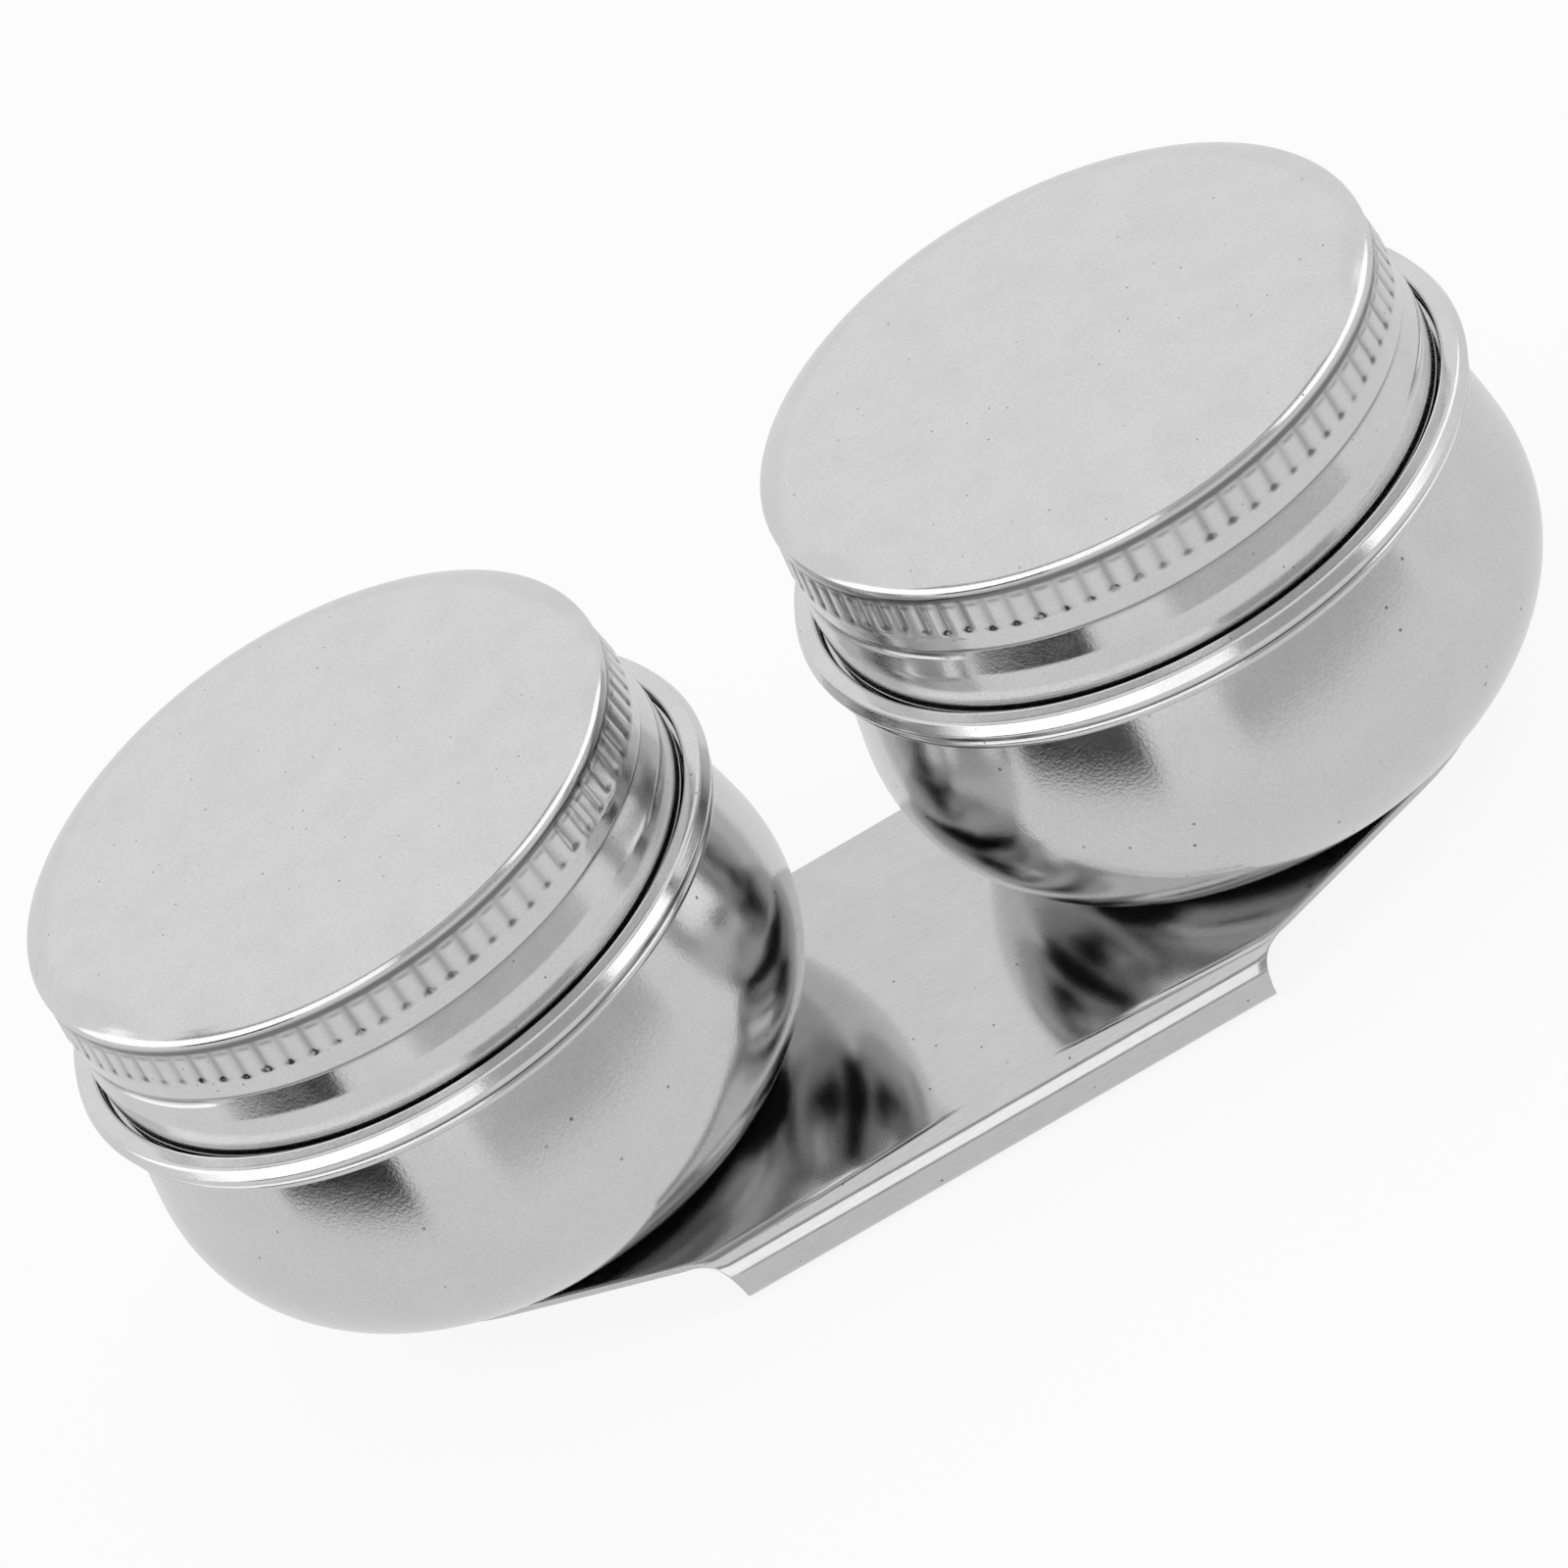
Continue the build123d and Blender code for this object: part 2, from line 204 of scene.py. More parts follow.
class ClipSizes(PropertyGroup):
    """The folded sheet clip and its spot welds."""

    sheet: length("Sheet", "Thickness of the clip's sheet", 0.5)
    edge: length("Edge rounding", "Rounding of the cut edges", 0.12)
    fold_radius: length("Fold radius", "Outer radius of the lower bend", 1.2)
    nose_radius: length("Nose radius", "Outer radius of the upper bend", 2.0)
    half_spacing: length("Half spacing", "Distance from the middle to a cup's axis", 29.3)
    tab_half_width: length("Tab half width", "Half width of the fold at the shoulders", 21.35)
    tab_taper: angle("Tab taper", "Slant of the fold's side edges", 13.2)
    shoulder_inset: length("Shoulder inset", "Depth of the shoulder's corner behind the fold", 1.02)
    shoulder_slant: angle("Shoulder slant", "Slant of the front shoulders", 23.3)
    relief_radius: length("Relief radius", "Radius of the relief curve at the fold's ends", 3.7)
    tongue_back: length("Tongue back", "Where the tongue ends, behind the middle", 9.5)
    tongue_corner: length("Tongue corner", "Radius of the tongue's corners", 5.0)
    pinch_back: length("Pinch back", "Where the tongue comes nearest to the plate", 4.0)
    pinch_rise: length("Pinch rise", "Rise of the tongue to its pinch line", 0.9)
    weld_circle: length("Weld circle", "Radius of the circle that the spot welds lie on", 8.5)
    weld_radius: length("Weld radius", "Radius of one spot weld", 1.6)
    weld_dent: length("Weld dent", "Depth of the dent at a spot weld", 0.12)
    weld_count: IntProperty(name="Welds", description="Spot welds under one bowl", default=4)


class SteelLooks(PropertyGroup):
    """Colours of the finishes."""

    lid: colour("Lid", "Satin lid sheet", "#DADADA")
    bowl: colour("Bowl", "Deep-drawn bowl sheet", "#D6D6D6")
    neck: colour("Neck", "Rolled neck ring", "#DADADA")
    clip: colour("Clip", "Rolled clip sheet", "#CDCDCD")
    weld: colour("Weld", "Spot weld", "#A9A7A2")
    liner: colour("Liner", "Foam seal disc", "#DFDED6")


class StudioSizes(PropertyGroup):
    """Camera, floor and surroundings."""

    lens: FloatProperty(name="Lens", description="Focal length on a 36 mm sensor", default=113.85)
    yaw: angle("Yaw", "Camera's turn round the object", 4.767)
    pitch: angle("Pitch", "Camera's height above the horizon", 33.949)
    roll: angle("Roll", "Camera's roll", 32.888)
    distance: length("Distance", "Camera's distance from the level of the lids", 333.611)
    aim_right: length("Aim right", "Shift of the camera along the picture's width", 7.621)
    aim_down: length("Aim down", "Shift of the camera down the picture's height", 14.782)
    floor_size: length("Floor", "Width of the floor", 3000)
    floor_tone: colour("Floor tone", "Painted floor", "#F2F2F2")


class CupSettings(PropertyGroup):
    """All settings of the palette cup."""

    thread: PointerProperty(type=ThreadSizes)
    lid: PointerProperty(type=LidSizes)
    neck: PointerProperty(type=NeckSizes)
    bowl: PointerProperty(type=BowlSizes)
    clip: PointerProperty(type=ClipSizes)
    looks: PointerProperty(type=SteelLooks)
    studio: PointerProperty(type=StudioSizes)


def smooth(value, low, high):
    """0 below low, 1 above high, and the cubic 3t^2 - 2t^3 between them."""
    t = np.clip((value - low) / (high - low), 0, 1)
    return t * t * (3 - 2 * t)


def run(start, end, spacing, guard=0.12 * MM):
    """Evenly spaced points from start to end, with one guard point close to each end."""
    start, end = np.asarray(start, float), np.asarray(end, float)
    reach = np.linalg.norm(end - start)
    near = min(guard / reach, 0.3)
    shares = np.linspace(0, 1, max(1, math.ceil(reach / spacing)) + 1)
    shares = np.unique(np.concatenate([shares, [near, 1 - near]]))
    return start + shares[:, None] * (end - start)


def arc(centre, radius, first, last, count):
    """Points on a circle's arc between two angles in degrees."""
    turns = np.radians(np.linspace(first, last, count))
    return np.stack([centre[0] + radius * np.cos(turns), centre[1] + radius * np.sin(turns)], 1)


def rounded(corners, spacing, steps=14):
    """An open outline through (x, y, rounding, spacing) corners, with a tangent arc at each.

    An arc leaves its two runs at the rounding times the tangent of half the turn. Where the arcs
    at both ends of a run need more than the run has, both shrink alike.
    """
    points = np.array([corner[:2] for corner in corners], float)
    spacings = [corner[3] if len(corner) > 3 else spacing for corner in corners]
    runs = np.diff(points, axis=0)
    reach = np.linalg.norm(runs, axis=1)
    ahead = runs / reach[:, None]
    cross = ahead[:-1, 0] * ahead[1:, 1] - ahead[:-1, 1] * ahead[1:, 0]
    turns = np.arctan2(cross, (ahead[:-1] * ahead[1:]).sum(axis=1))
    tangents = np.array([corner[2] for corner in corners], float)
    tangents[1:-1] *= np.abs(np.tan(turns / 2))
    tangents[[0, -1]] = 0
    share = np.minimum(1, 0.98 * reach / np.maximum(tangents[:-1] + tangents[1:], 1e-12))
    tangents[1:-1] *= np.minimum(share[:-1], share[1:])
    pieces = []
    start = points[0]
    for i in range(1, len(points) - 1):
        leave = points[i] - ahead[i - 1] * tangents[i]
        pieces.append(run(start, leave, spacings[i - 1]))
        turn = turns[i - 1]
        if tangents[i] > 0 and turn:
            radius = tangents[i] / math.tan(turn / 2)
            centre = leave + radius * np.array([-ahead[i - 1, 1], ahead[i - 1, 0]])
            count = math.ceil(abs(turn) / (TURN / 4) * steps)
            count = max(2, min(count, math.ceil(abs(turn * radius) / (0.06 * MM))))
            sweep = np.linspace(0, turn, count + 1)[1:-1, None]
            arm = leave - centre
            side = np.array([-arm[1], arm[0]])
            pieces.append(centre + arm * np.cos(sweep) + side * np.sin(sweep))
        start = points[i] + ahead[i] * tangents[i]
    pieces.append(run(start, points[-1], spacings[-2]))
    joined = np.concatenate(pieces)
    keep = np.linalg.norm(np.diff(joined, axis=0), axis=1) > 0.004 * MM
    return joined[np.concatenate([[True], keep])]


def turned(radii, heights, angles, axis_x):
    """A turned surface: radius times the angle's cosine and sine round the axis, and the height."""
    radii, heights, angles = np.broadcast_arrays(radii, heights, angles)
    return np.stack([axis_x + radii * np.cos(angles), radii * np.sin(angles), heights], axis=-1)


def piece(name, grids, material, body, nodes, close_rows=False, painted_shade=None):
    """One piece from grids of points whose columns run round each closed shell.

    Neighbouring rows and columns are joined by quads. Rows that shrink to a point or a line are
    merged there, so that every shell is closed. The painted shade is a number at each point, from
    0 to 1, that darkens the colour where shade falls.
    """
    mesh = bpy.data.meshes.new(name)
    points, faces, first = [], [], 0
    for grid in grids:
        rows, columns = grid.shape[:2]
        r, c = np.meshgrid(
            np.arange(rows if close_rows else rows - 1), np.arange(columns), indexing="ij"
        )
        below, beside = (r + 1) % rows, (c + 1) % columns
        here, under = r * columns, below * columns
        quad = [here + c, under + c, under + beside, here + beside]
        faces.append(np.stack(quad, axis=-1).reshape(-1, 4) + first)
        points.append(grid.reshape(-1, 3))
        first += rows * columns
    mesh.from_pydata(np.concatenate(points), [], np.concatenate(faces))
    # The attribute carries painted shade: darkening painted into creases, hollows and under rims.
    shade_marks = mesh.attributes.new("painted_shade", "FLOAT", "POINT")
    shade_marks.data.foreach_set("value", np.zeros(first) if painted_shade is None else painted_shade.ravel())
    shells = bmesh.new()
    shells.from_mesh(mesh)
    bmesh.ops.remove_doubles(shells, verts=shells.verts, dist=0.0005 * MM)
    bmesh.ops.recalc_face_normals(shells, faces=shells.faces)
    shells.to_mesh(mesh)
    shells.free()
    mesh.shade_smooth()
    mesh.materials.append(material)
    made = bpy.data.objects.new(name, mesh)
    bpy.context.scene.collection.objects.link(made)
    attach(made, body)
    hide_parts(*nodes)
    return made


def helix(angles, heights, start_angle, start_height, turns, thread, root, crest):
    """How strongly a thread shows at each place, from 0 to 1.

    It is 1 on the crest and falls as the smooth cubic to 0 at the root. The thread's middle lies
    at the start height plus the pitch times the turns made, and both its ends fade.
    """
    fade = thread.fade / TURN
    first = ((angles - start_angle) / TURN) % 1
    strength = 0
    for lap in range(math.ceil(turns)):
        made = first + lap
        ends = smooth(made, 0, fade) * smooth(turns - made, 0, fade)
        off = np.abs(heights - start_height - thread.pitch * made)
        strength = np.maximum(strength, ends * smooth(-off, -root / 2, -crest / 2))
    return strength


def lid_outline(lid, top, bottom, hem_outer):
    """The section of a lid: from the middle of its top down the outside, and up the inside."""
    skirt = hem_outer - lid.hem_reach
    shoulder = skirt - lid.shoulder_inset
    knurl = skirt - lid.knurl_inset
    start = knurl - lid.knurl_taper
    bore = start - lid.wall
    lean = math.tan(lid.shoulder_slant)
    groove = top - lid.groove_drop
    step = top - lid.step_drop
    foot = top - lid.knurl_bottom
    fine, coarse, wide = 0.14 * MM, 0.24 * MM, 7 * MM
    hem = bottom + lid.hem_height
    outside = [
        (0, top, 0, wide),
        (shoulder - lid.shoulder_width, top, lid.crown_radius, wide),
        (shoulder, top - lid.shoulder_width * lean, lid.shoulder_radius),
        (shoulder - lid.groove_depth, groove, lid.crease),
        (start, top - lid.knurl_top, lid.crease),
        (knurl, foot, 1.5 * MM),
        (knurl, foot - 3 * fine, 0, 2 * coarse),
        (knurl, step + lid.step_height, lid.crease),
        (knurl - lid.step_groove, step, 0.5 * lid.crease),
        (skirt, step - lid.flare_height, 6 * lid.hem_radius, coarse),
        (hem_outer, hem, 6 * lid.hem_radius),
        (hem_outer - lid.hem_lean, bottom, lid.hem_radius),
    ]
    inside = [
        (skirt - lid.wall, bottom, 0.1 * lid.hem_radius, coarse),
        (skirt - lid.wall, step - lid.flare_height, lid.crease, coarse),
        (knurl - lid.wall, step, lid.crease, wide),
        (knurl - lid.wall, foot, lid.crease, wide),
        (bore, top - lid.wall - (lid.shoulder_width - shoulder + bore) * lean, lid.crease, wide),
        (shoulder - lid.shoulder_width, top - lid.wall, lid.crease, wide),
        (0, top - lid.wall, 0),
    ]
    return rounded(outside + inside, fine), knurl


def bell(value, middle, width):
    """The bell curve exp(-((value - middle) / width)^2)."""
    return np.exp(-(((value - middle) / width) ** 2))


def flute_relief(angles, drops, lid, radius, seed):
    """The knurled wall's relief at each angle and depth below the top, and the shade painted on it.

    A flute is a bell curve across times a smooth window down the wall, with a deeper dimple at
    its lower end. Between two flutes the wall bulges as the square of a sine, and a dark half-moon
    of painted shade tops it. The painted shade, from 0 to 1, darkens each flute's line and its
    lower end, and also lies in the groove, in the step and under the hem, where shade falls.
    """
    phase = angles / TURN * lid.flute_count
    number = np.round(phase).astype(int) % lid.flute_count
    land = np.floor(phase).astype(int) % lid.flute_count
    chance = np.random.default_rng(seed)
    depth = chance.uniform(*FLUTE_DEPTHS, lid.flute_count)[number]
    scatter = chance.normal(-lid.flute_rise, lid.flute_scatter, lid.flute_count)
    end = lid.knurl_bottom + scatter[number]
    bulge = chance.uniform(*LAND_BULGES, lid.flute_count)[land]
    across = (phase - np.round(phase)) * TURN * radius / lid.flute_count
    line = bell(across, 0, 0.6 * lid.flute_width)
    window = smooth(drops, lid.groove_drop, lid.knurl_top)
    window = window * smooth(-drops, -end, lid.flute_fade - end)
    dimple = bell(drops, end - lid.dimple_size, lid.dimple_size) * window
    rise = smooth(drops, lid.groove_drop + 0.05 * MM, lid.knurl_top + 0.35 * MM)
    fall = smooth(-drops, -lid.knurl_bottom - 0.4 * MM, -lid.knurl_bottom + 0.1 * MM)
    swell = np.sin(np.pi * phase) ** 2
    relief = swell * rise * fall * bulge * lid.pillow_height
    relief = relief - line * depth * (window * lid.flute_depth + dimple * lid.dimple_depth)
    # Painted shade: darker lines along the flutes and dots at their lower ends, a dark half-moon
    # along each land's top edge, and dark bands in the groove and the step, where shade falls.
    width = lid.painted_shade_width
    low_end = bell(drops, end - 0.5 * lid.flute_fade, 1.3 * width)
    shade_marks = line * depth * (0.55 * window + 1.1 * low_end)
    crescent_shade = 0.8 * swell * bulge * bell(drops, lid.knurl_top + 0.5 * width, width)
    groove_shade = 1.5 * bell(drops, lid.groove_drop, 2 * width)
    groove_shade = groove_shade + 0.6 * bell(drops, lid.step_drop, width)
    return relief, shade_marks + crescent_shade + groove_shade


def lid_grid(lid, thread, low, high, axis_x, start, seed):
    """A lid as a turned shell, and the shade painted on it.

    The outside is moved by the flutes' relief and in by the thread's thin crease, and the inside
    is moved in by the thread's rib.
    """
    outline, knurl = lid_outline(lid, high.z, low.z, high.x - axis_x)
    offsets = np.array([-0.6, -0.3, -0.15, 0, 0.15, 0.3, 0.6]) * MM
    pitch = TURN * knurl / lid.flute_count
    flutes = np.arange(lid.flute_count)
    local = ((flutes[:, None] + offsets / pitch) / lid.flute_count * TURN).ravel()
    radii, heights = outline[:, :1], outline[:, 1:]
    foot = int(np.argmin(outline[:, 1]))
    outside = (np.arange(len(outline)) <= foot)[:, None]
    base = low.z + thread.start_height
    raised = base + thread.crease_lift
    crease = helix(local, heights, 0, raised, thread.lid_turns, thread, thread.crease_width, 0)
    rib = helix(
        local, heights, 0, base, thread.lid_turns, thread, thread.root_width, thread.lid_crest
    )
    wall = radii > knurl - lid.wall - lid.knurl_taper
    relief, painted_shade = flute_relief(local, high.z - heights, lid, knurl, seed)
    outer = relief - crease * thread.crease_depth
    moved = np.where(outside, outer, -rib * thread.lid_height) * wall
    # Painted shade also darkens the thread's crease, and the skirt towards the hem, where it curls
    # in under the lid.
    hem = smooth(low.z - heights, -lid.hem_height, 0)
    painted_shade = (painted_shade + crease + 0.5 * hem) * outside
    return turned(radii + moved, heights, local + start, axis_x), painted_shade


def neck_outline(neck, bottom, top, rim):
    """The closed section of a neck ring, from its rolled edge down the outside and up the bore."""
    outer = rim - neck.rim_reach - neck.inset
    bore = outer - neck.wall
    roll = (outer - neck.roll_radius, top - neck.roll_radius)
    ledge = bottom + neck.wall
    crown = bottom + 2 * neck.bead_radius
    slope = 1.2 * neck.bead_radius * math.tan(neck.bead_slope)
    crest = rounded(
        [
            (outer, roll[1], 0, 0.2 * MM),
            (outer, ledge, 0.3 * MM),
            (rim - neck.bead_width, ledge, 0.1 * MM),
            (rim - neck.bead_width, crown, neck.bead_corner),
            (rim - slope, crown, neck.bead_corner),
            (rim, bottom + 0.8 * neck.bead_radius, neck.bead_corner),
            (rim - 0.3 * neck.bead_radius, bottom, neck.bead_corner),
            (rim - neck.bead_radius, bottom, 0),
        ],
        0.12 * MM,
    )
    sweep = math.acos((bore - roll[0]) / neck.roll_radius)
    rise = run((bore, bottom), (bore, roll[1] - neck.roll_radius * math.sin(sweep)), 1.5 * MM)
    edge = arc(roll, neck.roll_radius, 360 - math.degrees(sweep), 0, 26)
    under = run(crest[-1], (bore, bottom), 1 * MM)
    return np.concatenate([crest, under[1:], rise[1:], edge[1:-1]]), outer


def neck_grid(neck, thread, low, high, axis_x, start, base):
    """A neck ring as a closed turned loop, and the shade painted under its bead.

    The thread's rib is raised on its outer wall.
    """
    outline, outer = neck_outline(neck, low.z, high.z, high.x - axis_x)
    radii, heights = outline[:, :1], outline[:, 1:]
    angles = np.linspace(0, TURN, 300, endpoint=False)
    rib = helix(
        angles,
        heights,
        start - math.pi,
        base,
        thread.neck_turns,
        thread,
        thread.root_width,
        thread.neck_crest,
    )
    moved = rib * thread.neck_height * (np.abs(radii - outer) < 0.001 * MM)
    # Painted shade: a dark band under the bead, where it meets the bowl's lip.
    under = radii > high.x - axis_x - neck.bead_radius
    painted_shade = np.broadcast_to(bell(heights, low.z, neck.painted_shade_width) * under, moved.shape)
    return turned(radii + moved, heights, angles, axis_x), painted_shade


def bowl_side(bowl, foot, top, inset):
    """One face of a bowl's wall: flat floor, quarter circle, upper curve and slightly bowed cone.

    The tangent of the cone's slant grows evenly from its foot to its top.
    """
    centre = (bowl.foot_radius, foot + bowl.corner_radius)
    belly = bowl.foot_radius + bowl.corner_radius
    corner = arc(centre, bowl.corner_radius - inset, -90, 0, 46)
    slant = bowl.wall_slant - bowl.wall_bow / 2
    upper_centre = (belly - bowl.upper_radius, centre[1])
    upper = arc(upper_centre, bowl.upper_radius - inset, 0, math.degrees(slant), 12)
    rise = np.linspace(0, top - upper[-1, 1], 24)
    growth = math.tan(slant + bowl.wall_bow) - math.tan(slant)
    radii = upper[-1, 0] - rise * (math.tan(slant) + growth * rise / rise[-1] / 2)
    cone = np.stack([radii, upper[-1, 1] + rise], axis=1)
    floor = run((0, foot + inset), corner[0], 3 * MM)
    return np.concatenate([floor[:-1], corner, upper[1:], cone[1:]])


def bowl_grid(bowl, low, high, axis_x):
    """A bowl as a turned shell, up the inside, round the rolled lip and down the outside."""
    foot, top = low.z, high.z
    under = top - bowl.wall
    inside = bowl_side(bowl, foot, top, bowl.wall)
    outside = bowl_side(bowl, foot, under, 0)
    mouth = outside[-1, 0] - bowl.wall * math.tan(bowl.wall_slant)
    lip = (mouth + bowl.lip_reach, top - bowl.lip_radius)
    meet = math.degrees(math.asin((bowl.lip_radius - bowl.wall) / bowl.lip_radius))
    crown = run(inside[-1], (lip[0], top), 1 * MM)
    roll = arc(lip, bowl.lip_radius, 90, -180 - meet, 34)
    ledge = rounded(
        [(*roll[-1], 0), (*outside[-1], 0.25 * MM), (*outside[-2], 0)], 0.3 * MM
    )
    outline = np.concatenate([inside, crown[1:], roll[1:], ledge[1:], outside[::-1][2:]])
    angles = np.linspace(0, TURN, 240, endpoint=False)
    return turned(outline[:, :1], outline[:, 1:], angles, axis_x)


def liner_grid(lid, low, high, axis_x):
    """A seal disc as a turned shell with a slanting edge and rounded rims."""
    upper = high.x - axis_x - (high.z - low.z) / math.tan(lid.shoulder_slant)
    outline = rounded(
        [
            (0, low.z, 0),
            (high.x - axis_x, low.z, 0.4 * lid.liner_edge),
            (upper, high.z, lid.liner_edge),
            (0, high.z, 0),
        ],
        2 * MM,
    )
    angles = np.linspace(0, TURN, 180, endpoint=False)
    return turned(outline[:, :1], outline[:, 1:], angles, axis_x)


def weld_spots(clip):
    """The middles of the spot welds round one cup's axis, seen from above."""
    turns = (np.arange(clip.weld_count) + 0.5) * TURN / clip.weld_count
    return clip.weld_circle * np.stack([np.cos(turns), np.sin(turns)], axis=1)


def weld_grids(clip, low, high, axis_x):
    """Spot welds as short turned plugs with a crater-edged lower face."""
    reach = clip.weld_radius
    outline = rounded(
        [
            (0, low.z + 0.06 * MM, 0),
            (0.6 * reach, low.z + 0.05 * MM, 0.3 * MM),
            (0.86 * reach, low.z, 0.3 * MM),
            (0.97 * reach, low.z + 0.05 * MM, 0.05 * MM),
            (0.97 * reach, high.z, 0.02 * MM),
            (0, high.z, 0),
        ],
        0.3 * MM,
        steps=6,
    )
    angles = np.linspace(0, TURN, 48, endpoint=False)
    grid = turned(outline[:, :1], outline[:, 1:], angles, axis_x)
    spots = weld_spots(clip)
    return [grid + np.array([x, y, 0]) for x, y in spots]


def fold_path(clip, back, front, top):
    """The middle of the sheet from the side: plate, bend, web, bend, tongue and flared tip."""
    half = clip.sheet / 2
    plate, web = top - half, front + half
    bend = clip.fold_radius - half
    weld = weld_spots(clip)[0][1]
    reach = 1.2 * clip.weld_radius
    plain, dense = 0.9 * MM, 0.22 * MM
    corners = [
        (back, plate, 0, plain),
        (weld + reach, plate, 0, dense),
        (weld - reach, plate, 0, plain),
        (reach - weld, plate, 0, dense),
        (-reach - weld, plate, 0, plain),
        (front + 9 * MM, plate, 0, dense),
        (web, plate, clip.nose_radius - half, dense),
        (web, half, bend, plain),
        (clip.pinch_back, clip.pinch_rise + half, 6 * MM, 0.4 * MM),
        (clip.tongue_back, half, 0),
    ]
    return rounded(corners, plain, steps=18)


def half_widths(clip, y, z, front, top, end_radius):
    """Half the sheet's width at each point of its outer face.

    Over the plate it is the circle round a cup's axis, then the slanting shoulder. From there on
    it is the relief arc and the tapered side, both drawn on a plane that leans back by 45
    degrees. Under the plate it is the tongue with rounded corners.
    """
    lean = math.sqrt(0.5)
    level = (y + z - top) * lean
    corner = np.array([clip.tab_half_width, (front + clip.shoulder_inset) * lean])
    up = np.array([1, math.tan(clip.shoulder_slant) * lean])
    down = np.array([-math.tan(clip.tab_taper), -1])
    up, down = up / np.linalg.norm(up), down / np.linalg.norm(down)
    half_turn = math.acos(up @ down) / 2
    tangent = clip.relief_radius / math.tan(half_turn)
    middle = (up + down) / np.linalg.norm(up + down)
    centre = corner + middle * clip.relief_radius / math.sin(half_turn)
    slope = corner[0] + (level - corner[1]) * up[0] / up[1]
    side = corner[0] + (level - corner[1]) * down[0] / down[1]
    off = np.clip(clip.relief_radius**2 - (level - centre[1]) ** 2, 0, None)
    relief = centre[0] - np.sqrt(off)
    width = np.where(level > corner[1] + tangent * up[1], slope, relief)
    width = np.where(level > corner[1] + tangent * down[1], width, side)
    circle = clip.half_spacing + np.sqrt(np.clip(end_radius**2 - y**2, 0, None))
    on_plate = (y > -end_radius * math.cos(clip.shoulder_slant)) & (z > top - clip.sheet)
    width = np.where(on_plate, circle, width)
    low_level = (front + clip.fold_radius - top) * lean
    tongue = corner[0] + (low_level - corner[1]) * down[0] / down[1]
    gone = np.clip(clip.tongue_corner - (clip.tongue_back - y), 0, clip.tongue_corner)
    tip = tongue - clip.tongue_corner + np.sqrt(clip.tongue_corner**2 - gone**2)
    return np.where(z < clip.fold_radius, tip, width)


def clip_grid(clip, low, high):
    """The clip as one sheet: a flat section with rounded edges, carried along the fold.

    Each place is the fold's point, plus the half width times a share across it, plus the distance
    through the sheet times the fold's normal. Spot welds leave shallow dents in the underside.
    """
    front, back, top = low.y, high.y, high.z
    half, edge = clip.sheet / 2, clip.edge
    path = fold_path(clip, back, front, top)
    turns = np.radians(np.linspace(0, 90, 5))
    inset, rise = edge * (1 - np.sin(turns)), half - edge * (1 - np.cos(turns))
    ahead = path[[1, -1]] - path[[0, -2]]
    ahead /= np.linalg.norm(ahead, axis=1)[:, None]
    first = path[0] + inset[::-1, None] * ahead[0]
    last = path[-1] - inset[:, None] * ahead[1]
    rows = np.concatenate([first[:1], first, path[1:-1], last, last[-1:]])
    limit = np.concatenate([[0], rise[::-1], np.full(len(path) - 2, half), rise, [0]])[:, None]
    step = np.gradient(path[1:-1], axis=0)
    step = np.concatenate([[ahead[0]] * 6, step, [ahead[1]] * 6])
    step /= np.linalg.norm(step, axis=1)[:, None]
    normal = np.stack([step[:, 1], -step[:, 0]], axis=1)
    outer = rows + normal * half
    end_radius = high.x - clip.half_spacing
    width = half_widths(clip, outer[:, 0], outer[:, 1], front, top, end_radius)[:, None]
    spots = weld_spots(clip)
    at_weld = clip.half_spacing + math.sqrt(end_radius**2 - spots[0][1] ** 2)
    near = np.linspace(-1.2, 1.2, 19) * clip.weld_radius
    near = np.concatenate([clip.half_spacing + x + near for x in (spots[0][0], spots[1][0])])
    share = np.concatenate([np.linspace(-1, 1, 61), near / at_weld, -near / at_weld])
    share = np.unique(np.round(share, 4))
    ones, bend = np.ones(4), edge * np.sin(turns[1:])
    across = np.concatenate([share, ones, ones, share[::-1], -ones, -ones])
    beyond = np.concatenate([0 * share, bend, bend[::-1], 0 * share, -bend, -bend[::-1]])
    flat = np.full(len(share), half)
    depth = np.concatenate([flat, rise[1:], -rise[:0:-1], -flat, -rise[1:], rise[:0:-1]])
    x = across * (width - edge) + beyond
    through = np.clip(depth, -limit, limit)
    on_plate = (rows[:, 1] > top - clip.sheet)[:, None] & (depth == -half)
    for side in SIDES.values():
        for spot in spots:
            away = np.hypot(x - side * clip.half_spacing - spot[0], rows[:, :1] - spot[1])
            dent = smooth(-away, -1.12 * clip.weld_radius, -0.98 * clip.weld_radius)
            through = through + dent * on_plate * 2 * clip.weld_dent
    y = rows[:, :1] + normal[:, :1] * through
    z = rows[:, 1:] + normal[:, 1:] * through
    return np.stack([x, y, z], axis=-1)


def node(tree, kind, inputs=None, **settings):
    """Adds one node with its settings, and fills its inputs with values or from other sockets."""
    new = tree.nodes.new(kind)
    for name, value in settings.items():
        setattr(new, name, value)
    for name, value in (inputs or {}).items():
        if isinstance(value, bpy.types.NodeSocket):
            tree.links.new(value, new.inputs[name])
        else:
            new.inputs[name].default_value = value
    return new


def empty_material(name):
    """A new material with an empty node tree."""
    made = bpy.data.materials.new(name)
    made.use_nodes = True
    made.node_tree.nodes.clear()
    return made, made.node_tree


